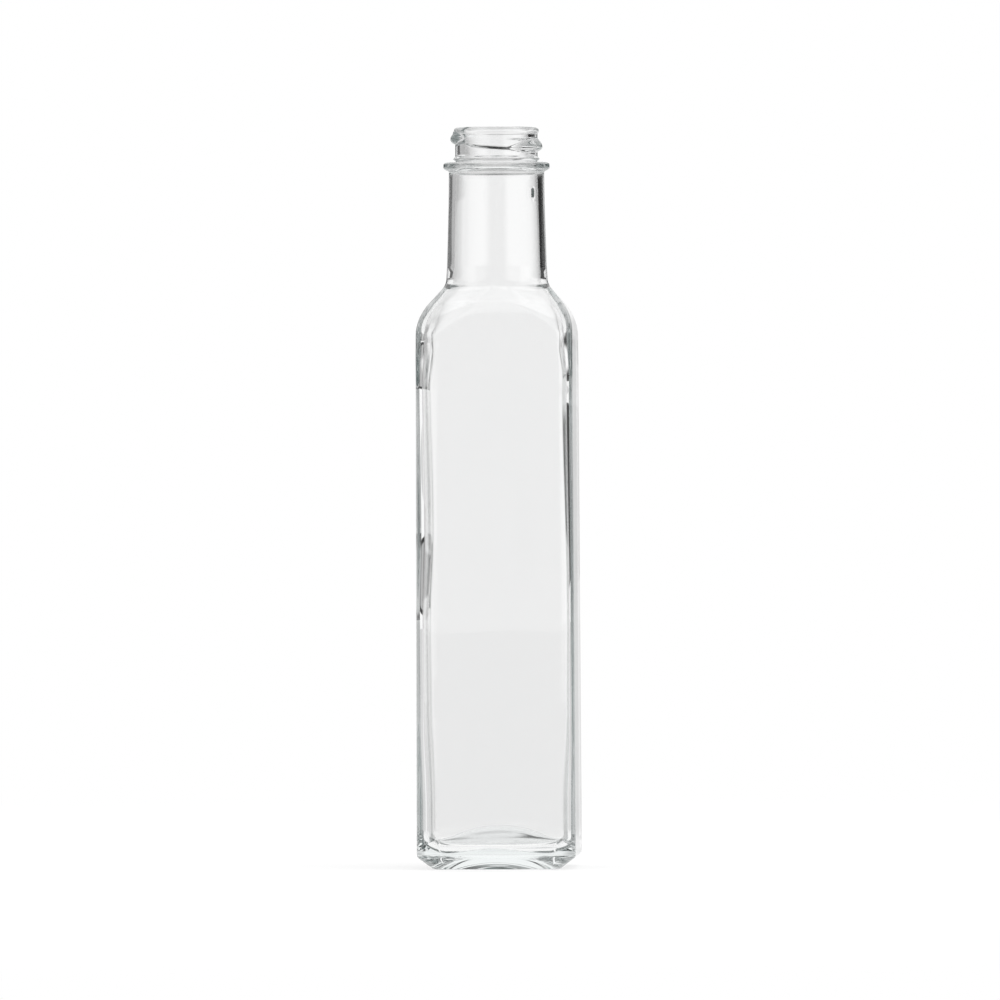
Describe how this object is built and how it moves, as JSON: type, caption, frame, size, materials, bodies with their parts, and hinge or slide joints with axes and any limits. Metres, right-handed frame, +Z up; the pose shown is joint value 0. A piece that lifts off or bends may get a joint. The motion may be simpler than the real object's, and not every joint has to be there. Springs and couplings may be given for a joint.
{
  "type": "square glass bottle",
  "caption": "Tall square clear glass bottle with rounded edges, sloping shoulder, round screw neck and pushed-up base, empty and uncapped.",
  "frame": {"origin": "middle of the face that the bottle stands on", "axes": "+Z up along the bottle's axis, +X and +Y square to two of its flat sides, front side facing -Y"},
  "size_m": [0.0466, 0.0466, 0.217],
  "materials": {
    "clear_glass": "polished clear soda-lime glass with a faint green tint in the thick parts"
  },
  "bodies": {
    "root": {"glass_bottle": "clear_glass"}
  },
  "joints": []
}
